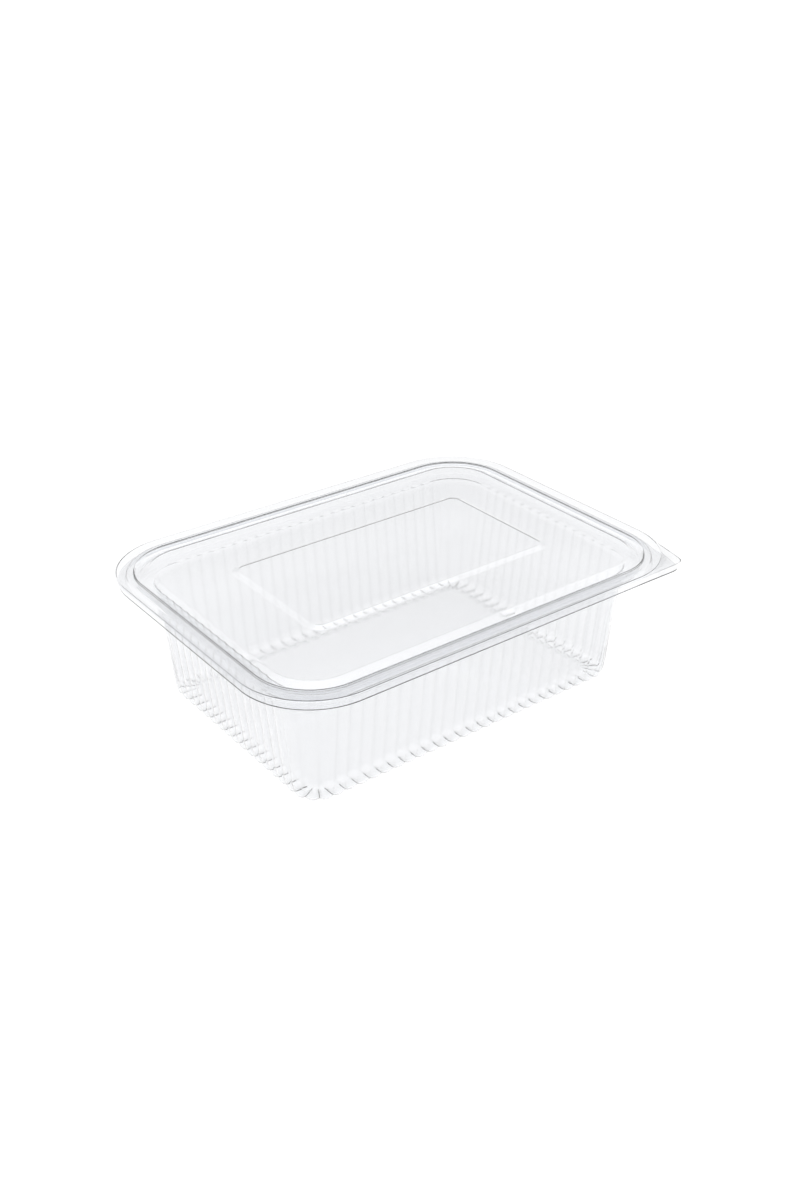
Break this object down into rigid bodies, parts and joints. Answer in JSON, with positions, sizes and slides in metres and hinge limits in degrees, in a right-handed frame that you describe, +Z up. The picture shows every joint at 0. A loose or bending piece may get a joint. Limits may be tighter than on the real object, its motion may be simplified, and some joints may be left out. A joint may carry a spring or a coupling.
{
  "type": "takeaway meal container",
  "caption": "Clear rectangular takeaway box with rounded corners: a fluted tray with a scalloped foot and a stepped rim, and a flat press-on lid with a raised panel, a shallow groove and a corner tab.",
  "frame": {"origin": "middle of the tray's underside, on the surface that the box rests on", "axes": "+X along the long side, +Z up out of the tray; the opening tab is at the corner of +X and -Y"},
  "size_m": [0.1798, 0.134, 0.0532],
  "materials": {
    "clear_tray": "clear glossy sheet with a slight cool cast",
    "clear_lid": "clear glossy sheet with a slight cool cast"
  },
  "bodies": {
    "root": {"tray": "clear_tray", "lid": "clear_lid"}
  },
  "joints": []
}
